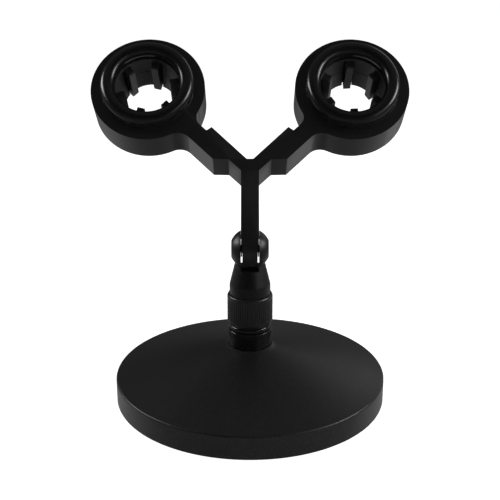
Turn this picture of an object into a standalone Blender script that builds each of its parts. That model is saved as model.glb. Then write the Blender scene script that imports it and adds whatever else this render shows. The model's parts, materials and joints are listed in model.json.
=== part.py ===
"""Twin microphone holder on a weighted round desk stand.

Frame: metres, +Z up. The origin is the centre of the rubber pad's underside. The stand is
symmetric about X = 0, and its front faces -Y. The yoke leans back towards +Y.
"""

import math

import bmesh
import bpy
from mathutils import Matrix, Vector

MM = 0.001

# Base
BASE_RADIUS = 75.4 * MM
BASE_BOTTOM = 0.3 * MM
BASE_RIM_TOP = 13.8 * MM
BASE_EDGE = 1.2 * MM
BASE_CHAMFER = 0.4 * MM
HUB_TOP = 31.2 * MM
HUB_FILLET = 4.5 * MM
HUB_RISE = 1.8 * MM
DOME_WALL = 8.5 * MM
RELIEF_RADIUS = 63.0 * MM
BOSS_RADIUS = 18.0 * MM
BOSS_DRAFT = 2.0 * MM
BOSS_BOTTOM = 13.0 * MM
PAD_RECESS_GAP = 0.4 * MM
PAD_RADIUS = 73.6 * MM
PAD_THICKNESS = 2.2 * MM

# Upright stack
COLLAR_RADIUS = 12.0 * MM
COLLAR_BOTTOM = 29.8 * MM
COLLAR_TOP = 40.3 * MM
THREAD_RADIUS = 7.94 * MM
THREAD_TOP = 50.0 * MM
THREAD_CHAMFER = 0.8 * MM
BOLT_HOLE_TOP = 46.0 * MM
LOCK_RING_RADIUS = 11.5 * MM
LOCK_RING_BOTTOM = 40.6 * MM
LOCK_RING_TOP = 43.2 * MM
LOCK_RING_ROUND = 1.0 * MM
SMALL_CHAMFER = 0.4 * MM
SLEEVE_RADIUS = 12.6 * MM
SLEEVE_BOTTOM = 43.5 * MM
SLEEVE_TOP = 61.0 * MM
SLEEVE_WALL_BOTTOM = 56.5 * MM
SLEEVE_WALL_TOP = 58.9 * MM
SLEEVE_ROUND = 1.2 * MM
SLEEVE_CHAMFER = (1.0 * MM, 1.6 * MM)
SCREW_CHAMBER_RADIUS = 9.4 * MM
SCREW_CHAMBER_BOTTOM = 51.0 * MM
THRUST_WASHER_SPAN = (59.1 * MM, 59.85 * MM)
PAN_WASHER_SPAN = (54.8 * MM, 55.95 * MM)
PAN_WASHER_RADIUS = 8.6 * MM
PAN_SCREW_TOP = 66.0 * MM
PAN_SCREW_HEAD_TOP = 54.5 * MM
PAN_SCREW_HEAD_RADIUS = 3.9 * MM
PAN_SCREW_HEAD_EDGE = 53.2 * MM
PAN_SCREW_HEAD_FACE = (2.9 * MM, 52.3 * MM)

# Swivel fork
PIVOT_HEIGHT = 86.7 * MM
BALL_RADIUS = 11.2 * MM
BALL_FLAT = 10.2 * MM
SLOT_HALF_WIDTH = 5.1 * MM
SLOT_DEPTH = 10.8 * MM
NECK_RADIUS = 8.2 * MM
CONE_RADIUS = 11.3 * MM
CONE_FOOT = 66.3 * MM
FORK_FOOT = 60.1 * MM
SPIGOT_RADIUS = 6.0 * MM
SPIGOT_END = 56.2 * MM
SPIGOT_HOLE_TOP = 67.0 * MM
FLAT_BELOW_PIVOT = 7.0 * MM
RECESS_RADIUS = 3.8 * MM
RECESS_FLOOR = 7.1 * MM
NUT_POCKET_FLATS = 7.6 * MM
CUTTER_REACH = 14.0 * MM

# Pivot screw and nut, along the tilt axis
PIVOT_SCREW_END = 9.9 * MM
PIVOT_HEAD_RADIUS = 3.5 * MM
PIVOT_HEAD_BOTTOM = 7.4 * MM
PIVOT_HEAD_ROUND = 0.6 * MM
PIVOT_SOCKET_FLATS = 2.5 * MM
PIVOT_SOCKET_FLOOR = 8.6 * MM
PIVOT_NUT_FLATS = 7.0 * MM
PIVOT_NUT_SPAN = (-9.8 * MM, -7.4 * MM)
FRICTION_WASHER_RADIUS = 4.5 * MM
FRICTION_WASHER_THICKNESS = 0.6 * MM
FRICTION_WASHER_GAP = 0.2 * MM

# Yoke, in its own plane: x across, w up the stem from the tilt axis
YOKE_ELEVATION = math.radians(49.6)
YOKE_THICKNESS = 20.7 * MM
STEM_HALF_WIDTH = 4.95 * MM
TONGUE_HALF_WIDTH = 4.1 * MM
TONGUE_END_RADIUS = 10.37 * MM
TONGUE_RELIEF = 10.45 * MM
RING_X = 58.15 * MM
RING_W = 93.8 * MM
RING_RADIUS = 32.6 * MM
RING_BORE = 25.5 * MM
RING_LIP_BORE = 23.0 * MM
RING_LIP_DEPTH = 3.0 * MM
LOWER_STEP = ((4.95 * MM, 42.2 * MM), (11.9 * MM, 49.0 * MM), (20.6 * MM, 49.2 * MM))
UPPER_STEP = ((24.4 * MM, 67.0 * MM), (21.5 * MM, 69.15 * MM), (1.8 * MM, 49.3 * MM))
LOWER_FILLET = 9.0 * MM
UPPER_FILLET = 6.0 * MM
TONGUE_CUTTER_REACH = 8.0 * MM

# Inserts, measured from the yoke's front face along its normal
BEAD_MAJOR = 22.4 * MM
BEAD_MINOR = 4.0 * MM
BEAD_CENTRE = 5.3 * MM
BEAD_NECK_HEIGHT = 0.5 * MM
BEAD_FOOT_HEIGHT = 1.2 * MM
SHOCK_SLEEVE_OUTER = 25.2 * MM
SHOCK_SLEEVE_INNER = 21.9 * MM
SHOCK_SLEEVE_END = -17.3 * MM
CUP_OUTER = 21.6 * MM
CUP_SLEEVE_INNER = 20.3 * MM
CUP_TOP = 0.9 * MM
CUP_FLANGE = 1.6 * MM
CUP_SLEEVE_END = -22.8 * MM
CUP_LIP_INNER = 17.6 * MM
CUP_LIP_HEIGHT = 1.3 * MM
CUP_JOIN = 0.6 * MM
PETAL_TOP_RADIUS = 18.6 * MM
PETAL_END_RADIUS = 15.4 * MM
PETAL_THICKNESS = 1.2 * MM
PETAL_END = -22.4 * MM
SLOT_WIDTH_DEG = 21.0
SLOT_INNER_RADIUS = 12.0 * MM
FINGER_WIDTH = 4.1 * MM
FINGER_RADIUS = 12.9 * MM
FINGER_TOP = 0.6 * MM
FINGER_FALL = 1.8 * MM
FINGER_CORNER = 0.6 * MM
FINGER_END = -23.1 * MM
FINGER_COUNT = 6
CUP_CLOCKING_DEG = {"left": 15.5, "right": 33.0}

# Fasteners and clearance
GAP = 0.3 * MM
M4_RADIUS = 2.0 * MM
M8_RADIUS = 4.0 * MM
M8_HOLE_RADIUS = 4.5 * MM
M8_WASHER_BORE = 4.35 * MM
BASE_WASHER_RADIUS = 12.0 * MM
BASE_WASHER_SPAN = (11.0 * MM, 12.7 * MM)
SPRING_WASHER_RADIUS = 7.2 * MM
SPRING_WASHER_SPAN = (8.9 * MM, 10.7 * MM)
SPRING_WASHER_SPLIT = 1.4 * MM
BOLT_HEAD_FLATS = 13.0 * MM
BOLT_HEAD_SPAN = (3.3 * MM, 8.6 * MM)
BOLT_END = 44.5 * MM
SIDES = {"left": -1.0, "right": 1.0}

PARTS_COLLECTION = "twin_microphone_holder"
CUTTERS_COLLECTION = "cutters"


# ---------------------------------------------------------------- scene and materials

def clear_scene():
    for obj in list(bpy.data.objects):
        bpy.data.objects.remove(obj, do_unlink=True)


def make_collection(name):
    collection = bpy.data.collections.new(name)
    bpy.context.scene.collection.children.link(collection)
    return collection


def make_material(name, colour, roughness, metallic):
    material = bpy.data.materials.new(name)
    material.use_nodes = True
    shader = material.node_tree.nodes["Principled BSDF"]
    shader.inputs["Base Color"].default_value = (*colour, 1.0)
    shader.inputs["Roughness"].default_value = roughness
    shader.inputs["Metallic"].default_value = metallic
    material.diffuse_color = (*colour, 1.0)
    return material


def place(obj, material=None, matrix=None, cutter=False):
    """Put an object in its collection, with its material and its place."""
    name = CUTTERS_COLLECTION if cutter else PARTS_COLLECTION
    bpy.data.collections[name].objects.link(obj)
    if matrix is not None:
        obj.matrix_world = matrix
    if material is not None:
        obj.data.materials.append(material)
    if cutter:
        obj.hide_render = True
        obj.display_type = "WIRE"
    return obj


# ---------------------------------------------------------------- shape helpers

def arc(centre, radius, start_deg, end_deg, count):
    """Points on an arc in the (u, v) plane, both ends included."""
    points = []
    for i in range(count + 1):
        angle = math.radians(start_deg + (end_deg - start_deg) * i / count)
        points.append((centre[0] + radius * math.cos(angle), centre[1] + radius * math.sin(angle)))
    return points


def turned(name, profile, material=None, steps=40, closed=False, matrix=None, cutter=False):
    """A turned solid. The profile is (radius, height) points, down the outer side."""
    mesh = bpy.data.meshes.new(name)
    vertices = [(radius, 0.0, height) for radius, height in profile]
    edges = [(i, i + 1) for i in range(len(profile) - 1)]
    if closed:
        edges.append((len(profile) - 1, 0))
    mesh.from_pydata(vertices, edges, [])
    obj = place(bpy.data.objects.new(name, mesh), material, matrix, cutter)
    screw = obj.modifiers.new("turn", "SCREW")
    screw.steps = steps
    screw.render_steps = steps
    screw.use_merge_vertices = True
    screw.merge_threshold = 0.00001
    screw.use_smooth_shade = True
    return obj


def ring(name, inner, outer, bottom, top, material, steps=32, matrix=None):
    """A flat washer or ring."""
    profile = [(inner, top), (outer, top), (outer, bottom), (inner, bottom)]
    return turned(name, profile, material, steps, closed=True, matrix=matrix)


def extruded_mesh(name, outlines, half_thickness):
    """A welded mesh from closed flat outlines; an outline inside another is a hole."""
    curve = bpy.data.curves.new(name, "CURVE")
    curve.dimensions = "2D"
    curve.fill_mode = "BOTH"
    curve.extrude = half_thickness
    for outline in outlines:
        spline = curve.splines.new("POLY")
        spline.points.add(len(outline) - 1)
        for point, (u, v) in zip(spline.points, outline):
            point.co = (u, v, 0.0, 1.0)
        spline.use_cyclic_u = True
    source = bpy.data.objects.new(name, curve)
    bpy.context.scene.collection.objects.link(source)
    depsgraph = bpy.context.evaluated_depsgraph_get()
    mesh = bpy.data.meshes.new_from_object(source.evaluated_get(depsgraph))
    mesh.materials.clear()
    bpy.data.objects.remove(source, do_unlink=True)
    body = bmesh.new()
    body.from_mesh(mesh)
    bmesh.ops.remove_doubles(body, verts=body.verts, dist=0.00001)
    bmesh.ops.recalc_face_normals(body, faces=body.faces)
    body.to_mesh(mesh)
    body.free()
    return mesh


def cylinder(name, radius, start, end, steps=32, matrix=None, cutter=True):
    """A solid cylinder along its local Z, from start to end."""
    profile = [(0.0, end), (radius, end), (radius, start), (0.0, start)]
    return turned(name, profile, None, steps, matrix=matrix, cutter=cutter)


def box(name, low, high, matrix=None):
    """An axis-aligned box cutter."""
    mesh = bpy.data.meshes.new(name)
    body = bmesh.new()
    bmesh.ops.create_cube(body, size=1.0)
    size = Vector(high) - Vector(low)
    centre = (Vector(high) + Vector(low)) / 2.0
    bmesh.ops.scale(body, vec=size, verts=body.verts)
    bmesh.ops.translate(body, vec=centre, verts=body.verts)
    body.to_mesh(mesh)
    body.free()
    return place(bpy.data.objects.new(name, mesh), None, matrix, cutter=True)


def boolean(target, other, operation="DIFFERENCE"):
    modifier = target.modifiers.new(other.name, "BOOLEAN")
    modifier.operation = operation
    modifier.solver = "EXACT"
    modifier.object = other


def hexagon(across_flats):
    radius = across_flats / 2.0 / math.cos(math.radians(30.0))
    return arc((0.0, 0.0), radius, 0.0, 300.0, 5)


def repeated_mesh(name, mesh, turns):
    """One mesh with a copy of another for each angle, turned about local Z."""
    body = bmesh.new()
    for angle in turns:
        copy = mesh.copy()
        copy.transform(Matrix.Rotation(angle, 4, "Z"))
        body.from_mesh(copy)
        bpy.data.meshes.remove(copy)
    result = bpy.data.meshes.new(name)
    body.to_mesh(result)
    body.free()
    return result


ALONG_X = Matrix.Rotation(math.radians(90.0), 4, "Y")


# ---------------------------------------------------------------- base

def dome_height(radius):
    """Height of the casting's top face: a straight cone with a fillet to the hub."""
    rim = BASE_RADIUS - BASE_EDGE
    slope = (HUB_TOP - HUB_RISE - BASE_RIM_TOP) / (rim - COLLAR_RADIUS)
    height = BASE_RIM_TOP + slope * (rim - radius)
    reach = COLLAR_RADIUS + HUB_FILLET - radius
    if reach > 0.0:
        height += HUB_RISE * (reach / HUB_FILLET) ** 2
    return height


def build_base(cast_iron, rubber, steel):
    rim = BASE_RADIUS - BASE_EDGE
    pocket = COLLAR_RADIUS + GAP
    rows = 10
    radii = [pocket + (rim - pocket) * (i / rows) ** 1.6 for i in range(rows)]
    top = [(radius, dome_height(radius)) for radius in radii]
    edge = arc((rim, BASE_RIM_TOP - BASE_EDGE), BASE_EDGE, 90.0, 0.0, 3)
    pad_seat = PAD_THICKNESS + GAP
    recess = PAD_RADIUS + PAD_RECESS_GAP
    boss_root = BOSS_RADIUS + BOSS_DRAFT
    profile = [(M8_HOLE_RADIUS, COLLAR_BOTTOM - GAP), (pocket, COLLAR_BOTTOM - GAP)]
    profile += top + edge
    profile += [
        (BASE_RADIUS, BASE_BOTTOM + BASE_CHAMFER),
        (BASE_RADIUS - BASE_CHAMFER, BASE_BOTTOM),
        (recess, BASE_BOTTOM),
        (recess, pad_seat),
        (RELIEF_RADIUS, pad_seat),
        (RELIEF_RADIUS, dome_height(RELIEF_RADIUS) - DOME_WALL),
        (boss_root, dome_height(boss_root) - DOME_WALL),
        (BOSS_RADIUS, BOSS_BOTTOM),
        (M8_HOLE_RADIUS, BOSS_BOTTOM),
    ]
    turned("base_casting", profile, cast_iron, steps=64, closed=True)
    pad = [(0.0, PAD_THICKNESS), (PAD_RADIUS, PAD_THICKNESS), (PAD_RADIUS, BASE_CHAMFER)]
    pad += [(PAD_RADIUS - BASE_CHAMFER, 0.0), (0.0, 0.0)]
    turned("base_pad", pad, rubber, steps=64)
    ring("base_washer", M8_WASHER_BORE, BASE_WASHER_RADIUS, *BASE_WASHER_SPAN, steel)
    build_spring_washer(steel)
    build_base_bolt(steel)


def build_spring_washer(steel):
    low, high = SPRING_WASHER_SPAN
    washer = ring("spring_washer", M8_WASHER_BORE, SPRING_WASHER_RADIUS, low, high, steel)
    half = SPRING_WASHER_SPLIT / 2.0
    near = (M8_RADIUS / 2.0, -half, low - MM)
    far = (SPRING_WASHER_RADIUS + MM, half, high + MM)
    boolean(washer, box("spring_washer_split", near, far))


def build_base_bolt(steel):
    head_bottom, head_top = BOLT_HEAD_SPAN
    half_height = (head_top - head_bottom) / 2.0
    mesh = extruded_mesh("base_bolt", [hexagon(BOLT_HEAD_FLATS)], half_height)
    mesh.transform(Matrix.Translation((0.0, 0.0, head_bottom + half_height)))
    bolt = place(bpy.data.objects.new("base_bolt", mesh), steel)
    shank = cylinder("base_bolt_shank", M8_RADIUS, head_bottom + half_height, BOLT_END)
    boolean(bolt, shank, "UNION")


# ---------------------------------------------------------------- upright stack

def build_stack(anodised, plastic, screw_steel):
    bolt_hole = M8_RADIUS + GAP
    post = [
        (0.0, THREAD_TOP),
        (THREAD_RADIUS - THREAD_CHAMFER, THREAD_TOP),
        (THREAD_RADIUS, THREAD_TOP - THREAD_CHAMFER),
        (THREAD_RADIUS, COLLAR_TOP),
        (COLLAR_RADIUS - SMALL_CHAMFER, COLLAR_TOP),
        (COLLAR_RADIUS, COLLAR_TOP - SMALL_CHAMFER),
        (COLLAR_RADIUS, COLLAR_BOTTOM),
        (bolt_hole, COLLAR_BOTTOM),
        (bolt_hole, BOLT_HOLE_TOP),
        (0.0, BOLT_HOLE_TOP),
    ]
    turned("threaded_post", post, anodised)
    build_lock_ring(anodised)
    build_sleeve(anodised)
    ring("thrust_washer", SPIGOT_RADIUS + GAP, CONE_RADIUS - SMALL_CHAMFER, *THRUST_WASHER_SPAN,
         plastic)
    ring("pan_washer", M4_RADIUS + GAP, PAN_WASHER_RADIUS, *PAN_WASHER_SPAN, screw_steel)
    pan_screw = [
        (0.0, PAN_SCREW_TOP),
        (M4_RADIUS, PAN_SCREW_TOP),
        (M4_RADIUS, PAN_SCREW_HEAD_TOP),
        (PAN_SCREW_HEAD_RADIUS, PAN_SCREW_HEAD_TOP),
        (PAN_SCREW_HEAD_RADIUS, PAN_SCREW_HEAD_EDGE),
        PAN_SCREW_HEAD_FACE,
        (0.0, PAN_SCREW_HEAD_FACE[1]),
    ]
    turned("pan_screw", pan_screw, screw_steel, steps=32)


def build_lock_ring(anodised):
    bore = THREAD_RADIUS + GAP
    round_centre = (LOCK_RING_RADIUS - LOCK_RING_ROUND, LOCK_RING_TOP - LOCK_RING_ROUND)
    profile = [(bore, LOCK_RING_TOP)]
    profile += arc(round_centre, LOCK_RING_ROUND, 90.0, 0.0, 3)
    profile += [
        (LOCK_RING_RADIUS, LOCK_RING_BOTTOM + SMALL_CHAMFER),
        (LOCK_RING_RADIUS - SMALL_CHAMFER, LOCK_RING_BOTTOM),
        (bore, LOCK_RING_BOTTOM),
    ]
    turned("lock_ring", profile, anodised, closed=True)


def build_sleeve(anodised):
    cone_bore = CONE_RADIUS + GAP
    thread_bore = THREAD_RADIUS + GAP
    spigot_bore = SPIGOT_RADIUS + GAP
    inset, rise = SLEEVE_CHAMFER
    round_centre = (SLEEVE_RADIUS - SLEEVE_ROUND, SLEEVE_TOP - SLEEVE_ROUND)
    profile = arc(round_centre, SLEEVE_ROUND, 80.0, 0.0, 3)
    profile += [
        (SLEEVE_RADIUS, SLEEVE_BOTTOM + rise),
        (SLEEVE_RADIUS - inset, SLEEVE_BOTTOM),
        (thread_bore, SLEEVE_BOTTOM),
        (thread_bore, SCREW_CHAMBER_BOTTOM),
        (SCREW_CHAMBER_RADIUS, SCREW_CHAMBER_BOTTOM),
        (SCREW_CHAMBER_RADIUS, SLEEVE_WALL_BOTTOM),
        (spigot_bore, SLEEVE_WALL_BOTTOM),
        (spigot_bore, SLEEVE_WALL_TOP),
        (cone_bore, SLEEVE_WALL_TOP),
    ]
    turned("knurled_sleeve", profile, anodised, closed=True)


# ---------------------------------------------------------------- swivel fork and its pivot

def build_fork(anodised):
    """The ball with its neck, cone and spigot, slotted for the yoke's tongue."""
    neck_height = PIVOT_HEIGHT - math.sqrt(BALL_RADIUS ** 2 - NECK_RADIUS ** 2)
    neck_angle = math.degrees(math.asin((neck_height - PIVOT_HEIGHT) / BALL_RADIUS))
    ball = arc((0.0, PIVOT_HEIGHT), BALL_RADIUS, 90.0, neck_angle, 14)
    ball[0] = (0.0, PIVOT_HEIGHT + BALL_RADIUS)
    hole = M4_RADIUS + GAP
    profile = ball + [
        (CONE_RADIUS, CONE_FOOT),
        (CONE_RADIUS, FORK_FOOT),
        (SPIGOT_RADIUS, FORK_FOOT),
        (SPIGOT_RADIUS, SPIGOT_END),
        (hole, SPIGOT_END),
        (hole, SPIGOT_HOLE_TOP),
        (0.0, SPIGOT_HOLE_TOP),
    ]
    fork = turned("swivel_fork", profile, anodised, steps=40)

    reach = CUTTER_REACH
    floor = PIVOT_HEIGHT - SLOT_DEPTH
    top = PIVOT_HEIGHT + reach
    slot = box("fork_slot", (-SLOT_HALF_WIDTH, -reach, floor), (SLOT_HALF_WIDTH, reach, top))
    boolean(fork, slot)
    for side, sign in SIDES.items():
        near, far = sorted((sign * BALL_FLAT, sign * reach))
        low = (near, -reach, PIVOT_HEIGHT - FLAT_BELOW_PIVOT)
        boolean(fork, box("fork_flat_" + side, low, (far, reach, top)))
    pivot = pivot_matrix()
    boolean(fork, cylinder("fork_pivot_hole", hole, -reach, reach, 24, pivot))
    boolean(fork, cylinder("fork_head_recess", RECESS_RADIUS, RECESS_FLOOR, reach, 32, pivot))
    half_depth = (reach - RECESS_FLOOR) / 2.0
    pocket = extruded_mesh("fork_nut_pocket", [hexagon(NUT_POCKET_FLATS)], half_depth)
    pocket.transform(Matrix.Translation((0.0, 0.0, -RECESS_FLOOR - half_depth)))
    boolean(fork, place(bpy.data.objects.new("fork_nut_pocket", pocket), None, pivot, cutter=True))


def pivot_matrix():
    """Local Z along the tilt axis, towards +X."""
    return Matrix.Translation((0.0, 0.0, PIVOT_HEIGHT)) @ ALONG_X


def build_pivot(screw_steel, plastic):
    pivot = pivot_matrix()
    screw = [
        (0.0, PIVOT_SCREW_END),
        (PIVOT_HEAD_RADIUS - PIVOT_HEAD_ROUND, PIVOT_SCREW_END),
        (PIVOT_HEAD_RADIUS, PIVOT_SCREW_END - PIVOT_HEAD_ROUND),
        (PIVOT_HEAD_RADIUS, PIVOT_HEAD_BOTTOM),
        (M4_RADIUS, PIVOT_HEAD_BOTTOM),
        (M4_RADIUS, -PIVOT_SCREW_END),
        (0.0, -PIVOT_SCREW_END),
    ]
    pivot_screw = turned("pivot_screw", screw, screw_steel, steps=32, matrix=pivot)
    half_depth = PIVOT_SCREW_END - PIVOT_SOCKET_FLOOR
    socket = extruded_mesh("pivot_socket", [hexagon(PIVOT_SOCKET_FLATS)], half_depth)
    socket.transform(Matrix.Translation((0.0, 0.0, PIVOT_SOCKET_FLOOR + half_depth)))
    socket_object = bpy.data.objects.new("pivot_socket", socket)
    boolean(pivot_screw, place(socket_object, None, pivot, cutter=True))

    low, high = PIVOT_NUT_SPAN
    hole = arc((0.0, 0.0), M4_RADIUS + GAP, 0.0, 345.0, 23)
    nut = extruded_mesh("pivot_nut", [hexagon(PIVOT_NUT_FLATS), hole], (high - low) / 2.0)
    nut.transform(Matrix.Translation((0.0, 0.0, (low + high) / 2.0)))
    place(bpy.data.objects.new("pivot_nut", nut), screw_steel, pivot)

    inner_face = TONGUE_HALF_WIDTH + FRICTION_WASHER_GAP
    outer_face = inner_face + FRICTION_WASHER_THICKNESS
    for side, sign in SIDES.items():
        low, high = sorted((sign * inner_face, sign * outer_face))
        ring("friction_washer_" + side, M4_RADIUS + GAP, FRICTION_WASHER_RADIUS, low, high,
             plastic, 32, pivot)


# ---------------------------------------------------------------- yoke

def fillet_to_ring(line_point, line_direction, side, radius, ring_centre, count=5):
    """Concave fillet between a straight edge and the ring's outside.

    side is the unit normal of the edge, on the fillet centre's side.
    """
    start = line_point + side * radius - ring_centre
    reach = RING_RADIUS + radius
    along = start.dot(line_direction)
    offset = start.dot(start) - reach ** 2
    travel = -along - math.sqrt(along ** 2 - offset)
    centre = ring_centre + start + line_direction * travel
    on_line = centre - side * radius
    on_ring = ring_centre + (centre - ring_centre) * (RING_RADIUS / reach)
    first = math.atan2(on_line.y - centre.y, on_line.x - centre.x)
    last = math.atan2(on_ring.y - centre.y, on_ring.x - centre.x)
    turn = (last - first + math.pi) % (2.0 * math.pi) - math.pi
    points = []
    for i in range(count + 1):
        angle = first + turn * i / count
        points.append(centre + Vector((math.cos(angle), math.sin(angle))) * radius)
    return points


def yoke_half_outline():
    """Right half of the yoke's outline, from the tongue's end up to the crotch."""
    bottom = -TONGUE_END_RADIUS - 0.5 * MM
    points = [Vector((0.0, bottom)), Vector((STEM_HALF_WIDTH, bottom))]
    points += [Vector(point) for point in LOWER_STEP]

    centre = Vector((RING_X, RING_W))
    outward = Vector((1.0, 1.0)).normalized()
    below = Vector((1.0, -1.0)).normalized()
    lower = fillet_to_ring(points[-1], outward, below, LOWER_FILLET, centre)
    upper = fillet_to_ring(Vector(UPPER_STEP[0]), outward, -below, UPPER_FILLET, centre)
    upper.reverse()
    first = lower[-1] - centre
    last = upper[0] - centre
    start_deg = math.degrees(math.atan2(first.y, first.x))
    end_deg = math.degrees(math.atan2(last.y, last.x))
    if end_deg < start_deg:
        end_deg += 360.0
    around = arc((centre.x, centre.y), RING_RADIUS, start_deg, end_deg, 52)
    points += lower
    points += [Vector(point) for point in around[1:-1]]
    points += upper
    points += [Vector(point) for point in UPPER_STEP]
    return points


def build_yoke(aluminium):
    """One thick plate; the tongue's end is rounded about the tilt axis."""
    right = yoke_half_outline()
    left = [Vector((-point.x, point.y)) for point in reversed(right[1:])]
    outer = [tuple(point) for point in right + left]
    bores = []
    for sign in SIDES.values():
        bores.append(arc((sign * RING_X, RING_W), RING_LIP_BORE, 0.0, 354.0, 59))
    mesh = extruded_mesh("yoke", [outer] + bores, YOKE_THICKNESS / 2.0)
    yoke_place = yoke_matrix()
    yoke = place(bpy.data.objects.new("yoke", mesh), aluminium, yoke_place)

    half = YOKE_THICKNESS / 2.0
    for side, sign in SIDES.items():
        at_ring = yoke_place @ Matrix.Translation((sign * RING_X, RING_W, 0.0))
        low = RING_LIP_DEPTH - half
        boolean(yoke, cylinder("ring_bore_" + side, RING_BORE, low, half + MM, 60, at_ring))

    build_tongue_cutters(yoke, yoke_place)


def build_tongue_cutters(yoke, yoke_place):
    """Round the tongue's end, thin its sides and bore it for the pivot screw."""
    reach = TONGUE_END_RADIUS + 3.0 * MM
    across_reach = TONGUE_CUTTER_REACH
    outline = [(0.0, -reach), (reach, -reach), (reach, reach), (0.0, reach)]
    outline += arc((0.0, 0.0), TONGUE_END_RADIUS, 90.0, -90.0, 20)
    waste = extruded_mesh("tongue_end_waste", [outline], across_reach)
    # The waste's local X runs down the stem and its extrusion runs across it.
    down_stem = Matrix.Rotation(math.radians(-90.0), 4, "Z")
    turn = down_stem @ Matrix.Rotation(math.radians(90.0), 4, "X")
    waste_object = bpy.data.objects.new("tongue_end_waste", waste)
    boolean(yoke, place(waste_object, None, yoke_place @ turn, cutter=True))
    across = yoke_place @ ALONG_X
    for side, sign in SIDES.items():
        low, high = sorted((sign * TONGUE_HALF_WIDTH, sign * across_reach))
        relief = cylinder("tongue_side_" + side, TONGUE_RELIEF, low, high, 48, across)
        boolean(yoke, relief)
    bore = cylinder("tongue_bore", M4_RADIUS + GAP, -across_reach, across_reach, 24, across)
    boolean(yoke, bore)


def yoke_matrix():
    """Local X across, local Y up the stem, local Z out of the front face."""
    return Matrix.Translation((0.0, 0.0, PIVOT_HEIGHT)) @ Matrix.Rotation(YOKE_ELEVATION, 4, "X")


# ---------------------------------------------------------------- inserts

def insert_matrix(sign):
    """The insert's axis on the yoke's front face."""
    offset = Matrix.Translation((sign * RING_X, RING_W, YOKE_THICKNESS / 2.0))
    return yoke_matrix() @ offset


def build_shock_ring(side, rubber):
    """Rubber sleeve with a round lip bead standing proud of the yoke's face."""
    bead = arc((BEAD_MAJOR, BEAD_CENTRE), BEAD_MINOR, 225.0, -45.0, 12)
    neck_outer = BEAD_MAJOR + BEAD_MINOR * math.cos(math.radians(45.0))
    profile = bead + [
        (neck_outer, BEAD_NECK_HEIGHT),
        (SHOCK_SLEEVE_OUTER, 0.0),
        (SHOCK_SLEEVE_OUTER, SHOCK_SLEEVE_END),
        (SHOCK_SLEEVE_INNER, SHOCK_SLEEVE_END),
        (SHOCK_SLEEVE_INNER, BEAD_FOOT_HEIGHT),
        (bead[0][0], BEAD_FOOT_HEIGHT),
    ]
    turned("shock_ring_" + side, profile, rubber, steps=48, closed=True,
           matrix=insert_matrix(SIDES[side]))


def petal_radius(height):
    """Inner radius of the petals at a height, tapering towards their far end."""
    fraction = (CUP_TOP - height) / (CUP_TOP - PETAL_END)
    return PETAL_TOP_RADIUS + (PETAL_END_RADIUS - PETAL_TOP_RADIUS) * fraction


def build_grip_cup(side, plastic):
    """Slotted cup: an outer sleeve, six petals and a gripping rib in each slot."""
    under = CUP_TOP - CUP_FLANGE
    profile = [
        (PETAL_TOP_RADIUS, CUP_TOP),
        (CUP_OUTER, CUP_TOP),
        (CUP_OUTER, CUP_SLEEVE_END),
        (CUP_SLEEVE_INNER, CUP_SLEEVE_END),
        (CUP_SLEEVE_INNER, under),
        (petal_radius(under) + PETAL_THICKNESS, under),
        (PETAL_END_RADIUS + PETAL_THICKNESS, PETAL_END),
        (PETAL_END_RADIUS, PETAL_END),
    ]
    matrix = insert_matrix(SIDES[side])
    cup = turned("grip_cup_" + side, profile, plastic, steps=60, closed=True, matrix=matrix)
    turns = []
    for i in range(FINGER_COUNT):
        turns.append(math.radians(CUP_CLOCKING_DEG[side] + 360.0 / FINGER_COUNT * i))

    slots = repeated_mesh("cup_slots_" + side, slot_mesh(under), turns)
    boolean(cup, place(bpy.data.objects.new(slots.name, slots), None, matrix, cutter=True))

    # The lip starts a little above the sleeve's end, so that the two faces don't coincide.
    lip_bottom = CUP_SLEEVE_END + 0.1 * MM
    lip_top = lip_bottom + CUP_LIP_HEIGHT
    lip_outer = CUP_SLEEVE_INNER + CUP_JOIN
    lip_profile = [(CUP_LIP_INNER, lip_top), (lip_outer, lip_top)]
    lip_profile += [(lip_outer, lip_bottom), (CUP_LIP_INNER, lip_bottom)]
    lip = turned("cup_lip_" + side, lip_profile, None, 60, True, matrix, cutter=True)
    boolean(cup, lip, "UNION")

    fingers = repeated_mesh("cup_fingers_" + side, finger_mesh(), turns)
    finger_object = bpy.data.objects.new(fingers.name, fingers)
    boolean(cup, place(finger_object, None, matrix, cutter=True), "UNION")


def slot_mesh(top):
    """A sector that opens one slot between two petals, up to a height."""
    half_deg = SLOT_WIDTH_DEG / 2.0
    between = (CUP_SLEEVE_INNER + PETAL_TOP_RADIUS + PETAL_THICKNESS) / 2.0
    outline = arc((0.0, 0.0), between + 0.2 * MM, -half_deg, half_deg, 4)
    outline += arc((0.0, 0.0), SLOT_INNER_RADIUS, half_deg, -half_deg, 1)
    half_depth = (top - PETAL_END + MM) / 2.0
    mesh = extruded_mesh("cup_slot", [outline], half_depth)
    mesh.transform(Matrix.Translation((0.0, 0.0, top - half_depth)))
    return mesh


def finger_mesh():
    """One straight rib: it stands in its slot, from the sleeve's wall in to the grip radius."""
    root = CUP_SLEEVE_INNER + CUP_JOIN
    outline = [
        (root, FINGER_TOP - FINGER_FALL),
        (FINGER_RADIUS + FINGER_CORNER, FINGER_TOP),
        (FINGER_RADIUS, FINGER_TOP - FINGER_CORNER),
        (FINGER_RADIUS, FINGER_END + FINGER_CORNER),
        (FINGER_RADIUS + FINGER_CORNER, FINGER_END),
        (PETAL_END_RADIUS + PETAL_THICKNESS, FINGER_END),
        (root, CUP_SLEEVE_END + CUP_JOIN),
    ]
    mesh = extruded_mesh("cup_finger", [outline], FINGER_WIDTH / 2.0)
    mesh.transform(Matrix.Rotation(math.radians(90.0), 4, "X"))
    return mesh


# ---------------------------------------------------------------- assembly

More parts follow.
